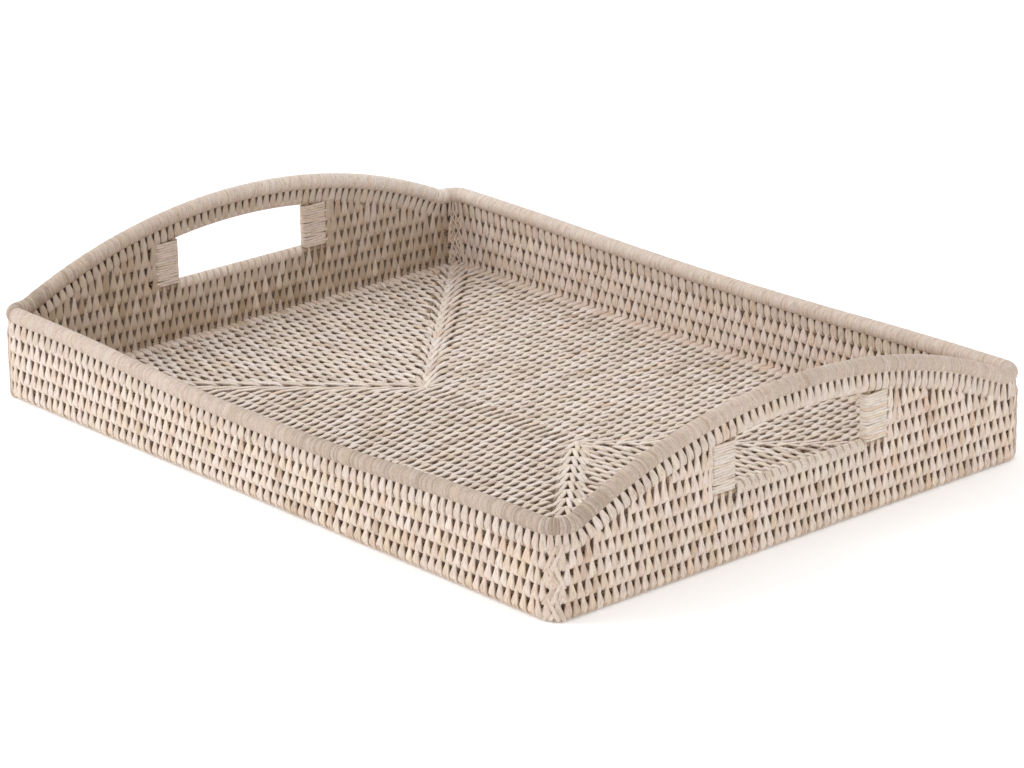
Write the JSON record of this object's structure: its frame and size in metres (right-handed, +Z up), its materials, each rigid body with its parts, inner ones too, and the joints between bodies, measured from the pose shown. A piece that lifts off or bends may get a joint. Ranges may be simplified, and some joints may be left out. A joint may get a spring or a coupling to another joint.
{
  "type": "serving tray",
  "caption": "Rectangular serving tray of stitched, coiled rattan: flat base, low walls, wrapped rim, and an arched end wall with a cut-out hand hole at each end.",
  "frame": {"origin": "middle of the resting face, under the centre of the tray", "axes": "+X along the long side, +Y along the short side from the dipped front wall to the back wall, +Z up"},
  "size_m": [0.462, 0.338, 0.0872],
  "materials": {
    "rattan_core": "matte, pale limed rattan rod",
    "cane_stitching": "matte whitewashed flat cane",
    "cane_wrapping": "satin whitewashed flat cane"
  },
  "bodies": {
    "root": {"back_left_corner_stitching": "cane_stitching", "back_right_corner_stitching": "cane_stitching", "back_wall_stitching": "cane_stitching", "base_back_stitching": "cane_stitching", "base_course_rod_01": "rattan_core", "base_course_rod_02": "rattan_core", "base_course_rod_03": "rattan_core", "base_course_rod_04": "rattan_core", "base_course_rod_05": "rattan_core", "base_course_rod_06": "rattan_core", "base_course_rod_07": "rattan_core", "base_course_rod_08": "rattan_core", "base_course_rod_09": "rattan_core", "base_course_rod_10": "rattan_core", "base_course_rod_11": "rattan_core", "base_course_rod_12": "rattan_core", "base_course_rod_13": "rattan_core", "base_course_rod_14": "rattan_core", "base_course_rod_15": "rattan_core", "base_course_rod_16": "rattan_core", "base_course_rod_17": "rattan_core", "base_course_rod_18": "rattan_core", "base_front_stitching": "cane_stitching", "base_left_stitching": "cane_stitching", "base_middle_rod": "rattan_core", "base_right_stitching": "cane_stitching", "front_left_corner_stitching": "cane_stitching", "front_right_corner_stitching": "cane_stitching", "front_wall_stitching": "cane_stitching", "left_back_post_rods": "rattan_core", "left_back_post_wrap": "cane_wrapping", "left_front_post_rods": "rattan_core", "left_front_post_wrap": "cane_wrapping", "left_infill_rods": "rattan_core", "left_sill_rod": "rattan_core", "left_sill_wrap": "cane_wrapping", "left_wall_stitching": "cane_stitching", "right_back_post_rods": "rattan_core", "right_back_post_wrap": "cane_wrapping", "right_front_post_rods": "rattan_core", "right_front_post_wrap": "cane_wrapping", "right_infill_rods": "rattan_core", "right_sill_rod": "rattan_core", "right_sill_wrap": "cane_wrapping", "right_wall_stitching": "cane_stitching", "rim_back_wrap": "cane_wrapping", "rim_front_wrap": "cane_wrapping", "rim_left_wrap": "cane_wrapping", "rim_right_wrap": "cane_wrapping", "rim_rod": "rattan_core", "under_rim_rod": "rattan_core", "wall_course_rod_1": "rattan_core", "wall_course_rod_2": "rattan_core", "wall_course_rod_3": "rattan_core", "wall_course_rod_4": "rattan_core"}
  },
  "joints": []
}
